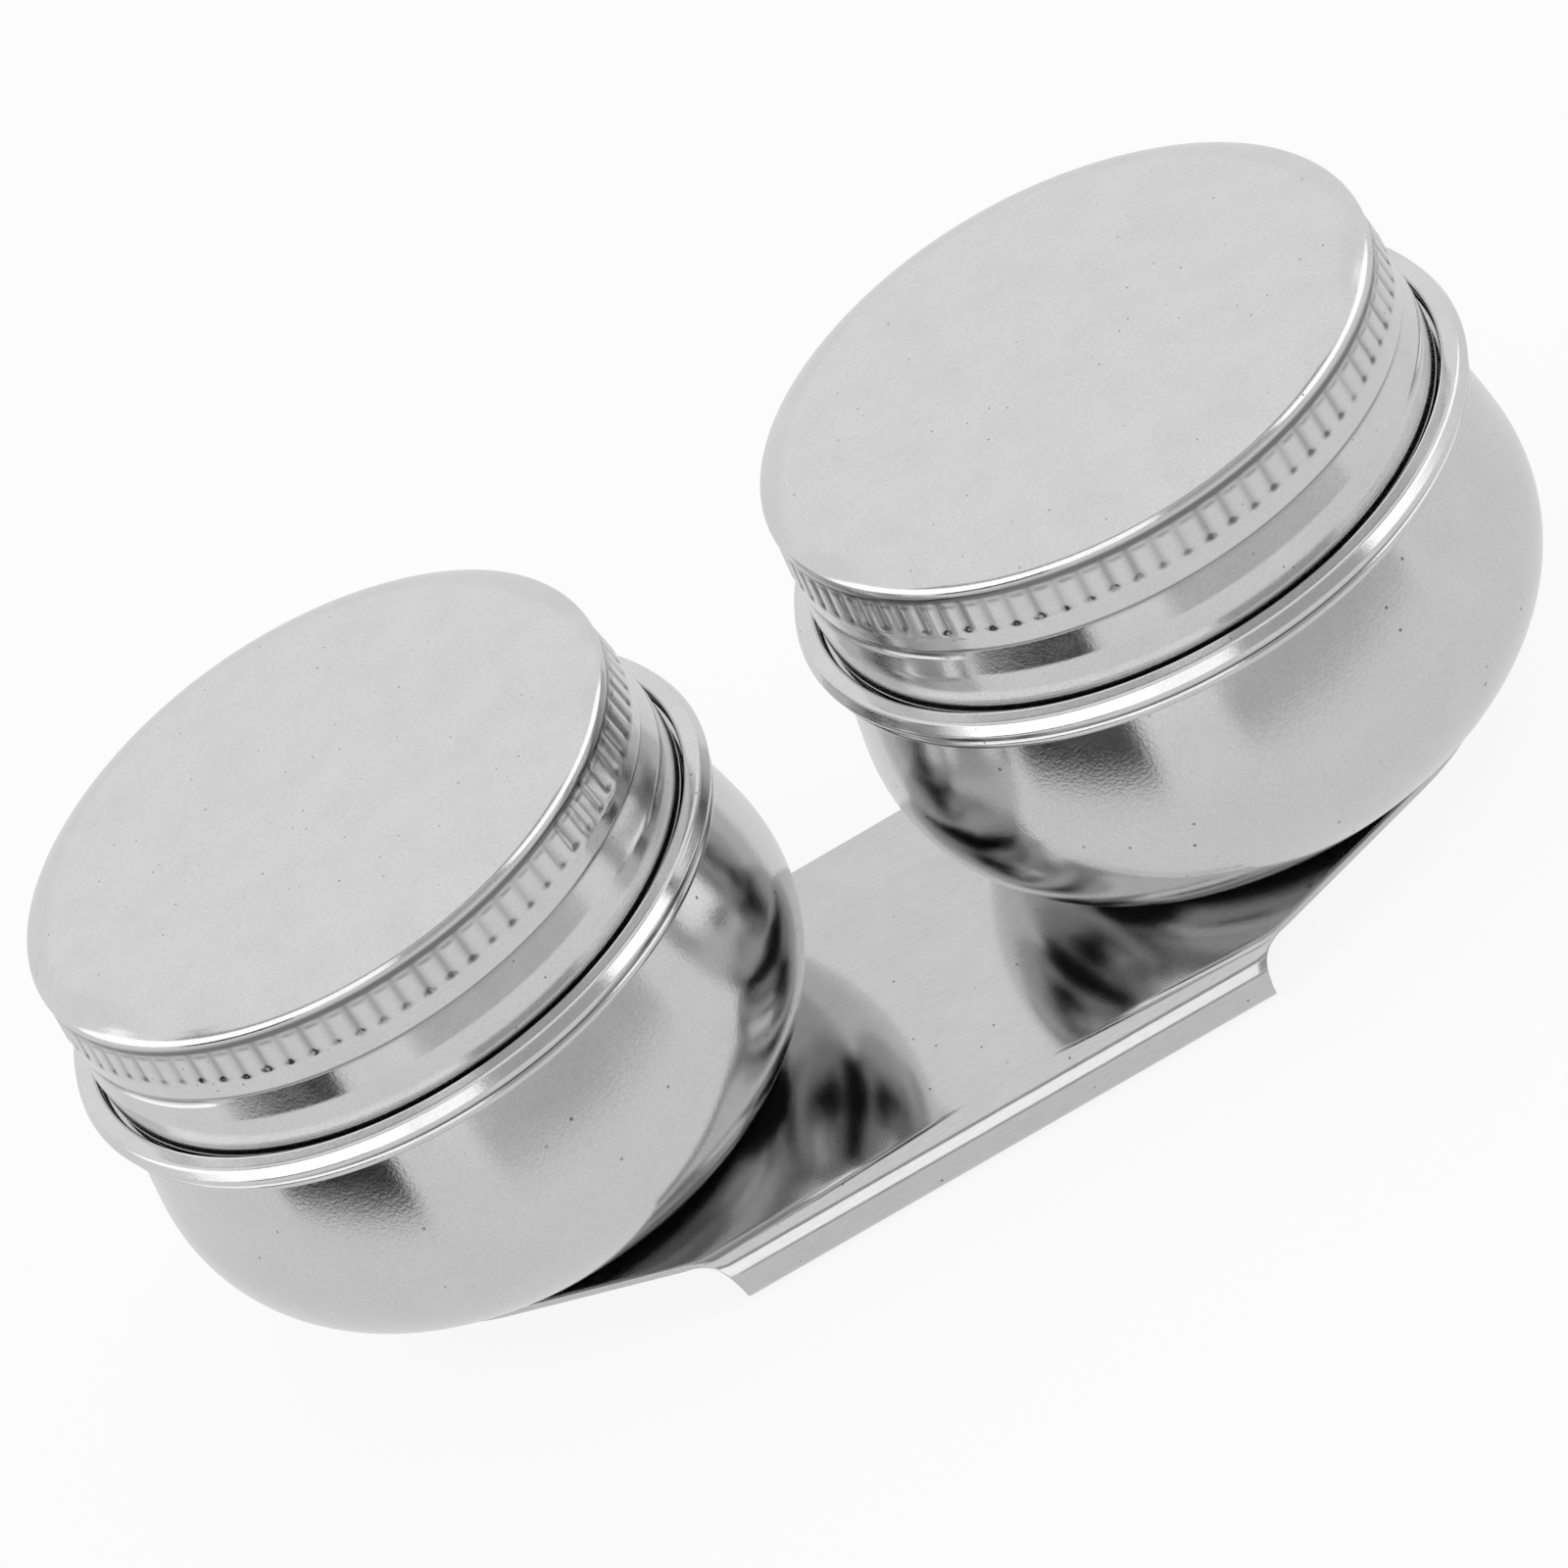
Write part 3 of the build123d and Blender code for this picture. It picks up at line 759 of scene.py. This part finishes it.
def steel(name, tone, roughness, mottle, grain, grain_depth, speck):
    """Bare satin steel sheet, from its tone and the sizes of its clouds, grain and specks.

    The clouds and the grain vary the tone, the clouds vary the roughness, and the grain is a bump
    too, stretched along the way the sheet was worked. The specks are sparse dark pinpricks. Painted
    shade darkens the colour in narrow hollows, found by ambient occlusion, and where the mesh's
    painted shade attribute asks for it.
    """
    made, tree = empty_material(name)
    place = node(tree, "ShaderNodeTexCoord").outputs["Object"]
    clouds = node(
        tree,
        "ShaderNodeTexNoise",
        {"Vector": place, "Scale": 1 / mottle, "Detail": 4.0, "Roughness": 0.62},
    ).outputs["Fac"]
    along = node(
        tree, "ShaderNodeMapping", {"Vector": place, "Scale": tuple(1 / size for size in grain)}
    ).outputs["Vector"]
    fine = node(
        tree,
        "ShaderNodeTexNoise",
        {"Vector": along, "Scale": 1.0, "Detail": 3.0, "Roughness": 0.6},
    ).outputs["Fac"]
    cells = node(
        tree, "ShaderNodeTexVoronoi", {"Vector": place, "Scale": 1 / speck, "Randomness": 1.0}
    ).outputs
    dots = node(
        tree,
        "ShaderNodeMapRange",
        {"Value": cells["Distance"], "From Min": 0.1, "From Max": 0.04},
        interpolation_type="SMOOTHSTEP",
    ).outputs["Result"]
    rare = node(
        tree, "ShaderNodeMapRange", {"Value": cells["Color"], "From Min": 0.55, "From Max": 0.7}
    ).outputs["Result"]
    pinprick = node(tree, "ShaderNodeMath", {0: dots, 1: rare}, operation="MULTIPLY").outputs[0]
    # Painted shade: ambient occlusion darkens the colour in narrow hollows, and the mesh's painted
    # shade attribute adds more. Both pull the colour towards the same dark tone as the specks.
    open_share = node(
        tree, "ShaderNodeAmbientOcclusion", {"Distance": 0.45 * MM}, samples=6
    ).outputs["AO"]
    hollow_shade = node(
        tree,
        "ShaderNodeMapRange",
        {"Value": open_share, "From Min": 0.85, "From Max": 0.4, "To Max": 0.85},
    ).outputs["Result"]
    painted_shade = node(tree, "ShaderNodeAttribute", attribute_name="painted_shade").outputs["Fac"]
    painted_shade_share = node(tree, "ShaderNodeMath", {0: painted_shade, 1: hollow_shade}, use_clamp=True).outputs[0]
    dark = node(tree, "ShaderNodeMath", {0: pinprick, 1: painted_shade_share}, operation="MAXIMUM").outputs[0]
    bright, dim, spot = (tuple(min(1, part * share) for part in tone) for share in (1.2, 0.8, 0.3))
    blend = node(tree, "ShaderNodeMix", {0: 0.6, 2: clouds, 3: fine}, data_type="FLOAT").outputs[0]
    cloudy = node(
        tree, "ShaderNodeMix", {0: blend, 6: (*dim, 1), 7: (*bright, 1)}, data_type="RGBA"
    ).outputs[2]
    speckled = node(
        tree, "ShaderNodeMix", {0: dark, 6: cloudy, 7: (*spot, 1)}, data_type="RGBA"
    ).outputs[2]
    rough = node(
        tree,
        "ShaderNodeMapRange",
        {"Value": clouds, "From Min": 0.3, "From Max": 0.7, "To Min": 0.82 * roughness,
         "To Max": 1.18 * roughness},
    ).outputs["Result"]
    bump = node(
        tree, "ShaderNodeBump", {"Height": fine, "Distance": grain_depth, "Strength": 1.0}
    ).outputs["Normal"]
    shader = node(
        tree,
        "ShaderNodeBsdfPrincipled",
        {"Base Color": speckled, "Roughness": rough, "Metallic": 1.0, "Normal": bump},
    )
    node(tree, "ShaderNodeOutputMaterial", {"Surface": shader.outputs[0]})
    return made


def foam(name, tone):
    """Closed-cell foam: matt, off-white, with pores of about 0.3 mm."""
    made, tree = empty_material(name)
    place = node(tree, "ShaderNodeTexCoord").outputs["Object"]
    pores = node(
        tree, "ShaderNodeTexVoronoi", {"Vector": place, "Scale": 1 / (0.3 * MM)}
    ).outputs["Distance"]
    tint = node(
        tree,
        "ShaderNodeMix",
        {0: pores, 6: (*(0.86 * part for part in tone), 1), 7: (*tone, 1)},
        data_type="RGBA",
    ).outputs[2]
    bump = node(tree, "ShaderNodeBump", {"Height": pores, "Distance": 0.04 * MM}).outputs["Normal"]
    shader = node(
        tree,
        "ShaderNodeBsdfPrincipled",
        {"Base Color": tint, "Roughness": 0.85, "Normal": bump},
    )
    node(tree, "ShaderNodeOutputMaterial", {"Surface": shader.outputs[0]})
    return made


def floor_paint(name, tone):
    """Matt white paint. The camera sees mostly plain white, with a soft shadow left in it."""
    made, tree = empty_material(name)
    paint = node(tree, "ShaderNodeBsdfDiffuse", {"Color": (*tone, 1)}).outputs[0]
    white = node(tree, "ShaderNodeEmission", {"Strength": 1.0}).outputs[0]
    rays = node(tree, "ShaderNodeLightPath").outputs
    seen = node(
        tree, "ShaderNodeMath", {0: rays["Is Camera Ray"], 1: rays["Is Transmission Ray"]},
        operation="MAXIMUM",
    ).outputs[0]
    share = node(tree, "ShaderNodeMath", {0: seen, 1: 0.88}, operation="MULTIPLY").outputs[0]
    mixed = node(tree, "ShaderNodeMixShader", {0: share, 1: paint, 2: white})
    node(tree, "ShaderNodeOutputMaterial", {"Surface": mixed.outputs[0]})
    return made


# Surroundings that the metal reflects, as (bearing from, to, height from, to, softness, tone) in
# degrees. Bearing 0 is the front and 90 the right-hand end; later patches cover earlier ones.
PATCHES = (
    (-200, 200, 18, 120, 6, 0.9),
    (-140, 140, -3, 38, 4, 0.85),
    (-98, 98, 38, 50, 4, 0.42),
    (-118, -22, -3, 34, 5, 1.5),
    (50, 128, 2, 30, 5, 1.5),
    (-22, 2, -3, 38, 5, 1.35),
    (2, 50, 0, 34, 5, 0.45),
    (-8, 62, -13, -3, 4, 0.5),
    (-75, -35, -14.2, -3, 1.8, 0.0),
)
GROUND, ZENITH = 0.78, 0.9


def studio_world(name):
    """A light tent: pale below, soft boxes left and right, darker to the front, white behind.

    The bearing is the arc tangent of the ray's x and -y, its height the arc sine of z. Each patch
    is the product of four smooth edges. Camera and transmission rays see plain white.
    """
    world = bpy.data.worlds.new(name)
    world.use_nodes = True
    tree = world.node_tree
    tree.nodes.clear()
    ray = node(tree, "ShaderNodeTexCoord").outputs["Generated"]
    parts = node(tree, "ShaderNodeSeparateXYZ", {"Vector": ray}).outputs
    front = node(tree, "ShaderNodeMath", {0: parts["Y"], 1: -1.0}, operation="MULTIPLY").outputs[0]
    bearing = node(
        tree, "ShaderNodeMath", {0: parts["X"], 1: front}, operation="ARCTAN2"
    ).outputs[0]
    height = node(tree, "ShaderNodeMath", {0: parts["Z"]}, operation="ARCSINE").outputs[0]
    tone = node(
        tree,
        "ShaderNodeMapRange",
        {"Value": height, "From Min": math.radians(-40), "From Max": math.radians(60),
         "To Min": GROUND, "To Max": ZENITH},
        interpolation_type="SMOOTHSTEP",
    ).outputs["Result"]
    for left, right, low, high, soft, level in PATCHES:
        mask = 1.0
        for value, edge, way in (
            (bearing, left, 1), (bearing, right, -1), (height, low, 1), (height, high, -1)
        ):
            if abs(edge) > 180:
                continue
            rim = node(
                tree,
                "ShaderNodeMapRange",
                {"Value": value, "From Min": math.radians(edge - way * soft / 2),
                 "From Max": math.radians(edge + way * soft / 2)},
                interpolation_type="SMOOTHSTEP",
            ).outputs["Result"]
            mask = node(tree, "ShaderNodeMath", {0: mask, 1: rim}, operation="MULTIPLY").outputs[0]
        tone = node(
            tree, "ShaderNodeMix", {0: mask, 2: tone, 3: float(level)}, data_type="FLOAT"
        ).outputs[0]
    rays = node(tree, "ShaderNodeLightPath").outputs
    seen = node(
        tree, "ShaderNodeMath", {0: rays["Is Camera Ray"], 1: rays["Is Transmission Ray"]},
        operation="MAXIMUM",
    ).outputs[0]
    shown = node(tree, "ShaderNodeMix", {0: seen, 2: tone, 3: 1.0}, data_type="FLOAT").outputs[0]
    light = node(tree, "ShaderNodeBackground", {"Color": shown, "Strength": 1.0})
    node(tree, "ShaderNodeOutputWorld", {"Surface": light.outputs[0]})
    return world


def camera_place(studio, level):
    """The camera's matrix.

    The camera looks along its bearing and pitch at the point above the middle at that level. It is
    rolled about its line of sight, moved back by the distance and shifted in its own plane.
    """
    turn, tip, roll = studio.yaw, studio.pitch, studio.roll
    right = np.array([math.cos(turn), math.sin(turn), 0])
    back = np.array(
        [math.sin(turn) * math.cos(tip), -math.cos(turn) * math.cos(tip), math.sin(tip)]
    )
    down = np.cross(-back, right)
    across = math.cos(roll) * right + math.sin(roll) * down
    along = math.cos(roll) * down - math.sin(roll) * right
    place = np.array([0, 0, level]) + studio.distance * back
    place = place + studio.aim_right * across + studio.aim_down * along
    matrix = np.eye(4)
    matrix[:3] = np.stack([across, -along, back, place], axis=1)
    return Matrix(matrix.tolist())


class BuildClip(Operator):
    """Builds the folded sheet clip under both bowls"""

    bl_idname = "palette_cup.clip"
    bl_label = "Clip"

    def execute(self, context):
        cup = context.scene.palette_cup
        # Cold-rolled steel sheet: glossy satin with fine lines along the rolling direction, X
        rolled = steel(
            "rolled_steel_sheet", cup.looks.clip, 0.1, 5 * MM,
            (1.2 * MM, 0.16 * MM, 0.16 * MM), 0.002 * MM, 1.4 * MM,
        )
        grid = clip_grid(cup.clip, *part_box("clip_plate"))
        piece("folded_clip", [grid], rolled, "cups", ["clip_plate"])
        return {"FINISHED"}


class BuildWelds(Operator):
    """Builds the spot welds between the bowls and the clip"""

    bl_idname = "palette_cup.welds"
    bl_label = "Spot welds"

    def execute(self, context):
        cup = context.scene.palette_cup
        # Resistance spot welds: dull, slightly browned and coarser than the sheet
        weld = steel(
            "spot_weld_steel", cup.looks.weld, 0.45, 1.2 * MM,
            (0.2 * MM, 0.2 * MM, 0.2 * MM), 0.01 * MM, 0.5 * MM,
        )
        for side, way in SIDES.items():
            low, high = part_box(f"{side}_weld_spots")
            grids = weld_grids(cup.clip, low, high, way * cup.clip.half_spacing)
            piece(
                f"{side}_weld_marks", grids, weld, "cups", [f"{side}_weld_spots"]
            )
        return {"FINISHED"}


class BuildBowls(Operator):
    """Builds the two deep-drawn bowls"""

    bl_idname = "palette_cup.bowls"
    bl_label = "Bowls"

    def execute(self, context):
        cup = context.scene.palette_cup
        # Deep-drawn steel: satin, with an even orange-peel grain
        drawn = steel(
            "drawn_steel_bowl", cup.looks.bowl, 0.13, 6 * MM,
            (0.24 * MM, 0.24 * MM, 0.24 * MM), 0.007 * MM, 1.8 * MM,
        )
        for side, way in SIDES.items():
            low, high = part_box(f"{side}_bowl")
            grid = bowl_grid(cup.bowl, low, high, way * cup.clip.half_spacing)
            piece(f"{side}_drawn_bowl", [grid], drawn, "cups", [f"{side}_bowl"])
        return {"FINISHED"}


class BuildNecks(Operator):
    """Builds the threaded neck rings with their rolled beads"""

    bl_idname = "palette_cup.necks"
    bl_label = "Neck rings"

    def execute(self, context):
        cup = context.scene.palette_cup
        # Pressed and rolled steel: a bright bead with fine grain
        pressed = steel(
            "pressed_steel_neck", cup.looks.neck, 0.13, 3 * MM,
            (0.2 * MM, 0.2 * MM, 0.2 * MM), 0.005 * MM, 1.2 * MM,
        )
        for side, way in SIDES.items():
            low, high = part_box(f"{side}_neck_ring")
            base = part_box(f"{side}_lid")[0].z + cup.thread.start_height
            start = getattr(cup.thread, f"{side}_start")
            axis_x = way * cup.clip.half_spacing
            # The necks carry painted shade under their beads.
            grid, painted_shade = neck_grid(cup.neck, cup.thread, low, high, axis_x, start, base)
            piece(
                f"{side}_threaded_neck", [grid], pressed, "cups", [f"{side}_neck_ring"],
                close_rows=True, painted_shade=painted_shade,
            )
        return {"FINISHED"}


class BuildLids(Operator):
    """Builds the fluted screw lids"""

    bl_idname = "palette_cup.lids"
    bl_label = "Lids"

    def execute(self, context):
        cup = context.scene.palette_cup
        # Tinned steel sheet: pale satin with faint clouds, fine grain and a few dark pinpricks
        tinned = steel(
            "tinned_steel_lid", cup.looks.lid, 0.14, 4 * MM,
            (0.22 * MM, 0.22 * MM, 0.22 * MM), 0.005 * MM, 1.1 * MM,
        )
        for seed, (side, way) in enumerate(SIDES.items()):
            low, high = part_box(f"{side}_lid")
            start = getattr(cup.thread, f"{side}_start")
            axis_x = way * cup.clip.half_spacing
            # The lids carry painted shade in their flutes, groove, step, thread crease and hem.
            grid, painted_shade = lid_grid(cup.lid, cup.thread, low, high, axis_x, start, seed + 3)
            piece(
                f"{side}_screw_lid", [grid], tinned, f"{side}_cap", [f"{side}_lid"],
                painted_shade=painted_shade,
            )
        return {"FINISHED"}


class BuildLiners(Operator):
    """Builds the foam seal discs inside the lids"""

    bl_idname = "palette_cup.liners"
    bl_label = "Seal discs"

    def execute(self, context):
        cup = context.scene.palette_cup
        disc = foam("white_seal_foam", cup.looks.liner)
        for side, way in SIDES.items():
            low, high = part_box(f"{side}_lid_liner")
            grid = liner_grid(cup.lid, low, high, way * cup.clip.half_spacing)
            piece(
                f"{side}_seal_disc", [grid], disc, f"{side}_seal", [f"{side}_lid_liner"],
            )
        return {"FINISHED"}


class BuildStudio(Operator):
    """Builds the floor, the surroundings and the camera"""

    bl_idname = "palette_cup.studio"
    bl_label = "Studio"

    def execute(self, context):
        scene = context.scene
        studio = scene.palette_cup.studio
        reach = studio.floor_size / 2
        mesh = bpy.data.meshes.new("studio_floor")
        level = -0.02 * MM
        corners = [(-reach, -reach, level), (reach, -reach, level)]
        corners += [(reach, reach, level), (-reach, reach, level)]
        mesh.from_pydata(corners, [], [(0, 1, 2, 3)])
        mesh.materials.append(floor_paint("white_floor_paint", studio.floor_tone))
        floor = bpy.data.objects.new("studio_floor", mesh)
        scene.collection.objects.link(floor)
        # The tent's lower half stands for the lit floor in the metal, far from the cups
        floor.visible_glossy = False
        scene.world = studio_world("light_tent")
        scene.view_settings.view_transform = "Standard"
        lens = bpy.data.cameras.new("photo_camera")
        lens.sensor_fit = "HORIZONTAL"
        lens.sensor_width = 36
        lens.lens = studio.lens
        lens.clip_start = 0.01
        camera = bpy.data.objects.new("photo_camera", lens)
        camera.matrix_world = camera_place(studio, cad_high.z)
        scene.collection.objects.link(camera)
        scene.camera = camera
        return {"FINISHED"}


OPERATORS = (BuildClip, BuildWelds, BuildBowls, BuildNecks, BuildLids, BuildLiners, BuildStudio)


class CupPanel(Panel):
    """The palette cup's pieces and settings"""

    bl_idname = "VIEW3D_PT_palette_cup"
    bl_label = "Palette cup"
    bl_space_type = "VIEW_3D"
    bl_region_type = "UI"
    bl_category = "Palette cup"

    def draw(self, context):
        cup = context.scene.palette_cup
        for operator in OPERATORS:
            self.layout.operator(operator.bl_idname)
        for group in ("thread", "lid", "neck", "bowl", "clip", "looks", "studio"):
            box = self.layout.box()
            box.label(text=group.capitalize())
            sizes = getattr(cup, group)
            for name in sizes.__annotations__:
                box.prop(sizes, name)


CLASSES = (
    ThreadSizes, LidSizes, NeckSizes, BowlSizes, ClipSizes, SteelLooks, StudioSizes, CupSettings,
    *OPERATORS, CupPanel,
)


def register():
    """Registers the classes and hangs the settings on the scene."""
    for made in CLASSES:
        bpy.utils.register_class(made)
    bpy.types.Scene.palette_cup = PointerProperty(type=CupSettings)


def unregister():
    """Takes the settings and the classes away again."""
    del bpy.types.Scene.palette_cup
    for made in reversed(CLASSES):
        bpy.utils.unregister_class(made)


def main():
    """Builds every piece and the studio."""
    register()
    bpy.ops.palette_cup.clip()
    bpy.ops.palette_cup.welds()
    bpy.ops.palette_cup.bowls()
    bpy.ops.palette_cup.necks()
    bpy.ops.palette_cup.lids()
    bpy.ops.palette_cup.liners()
    bpy.ops.palette_cup.studio()


if __name__ == "__main__":
    main()
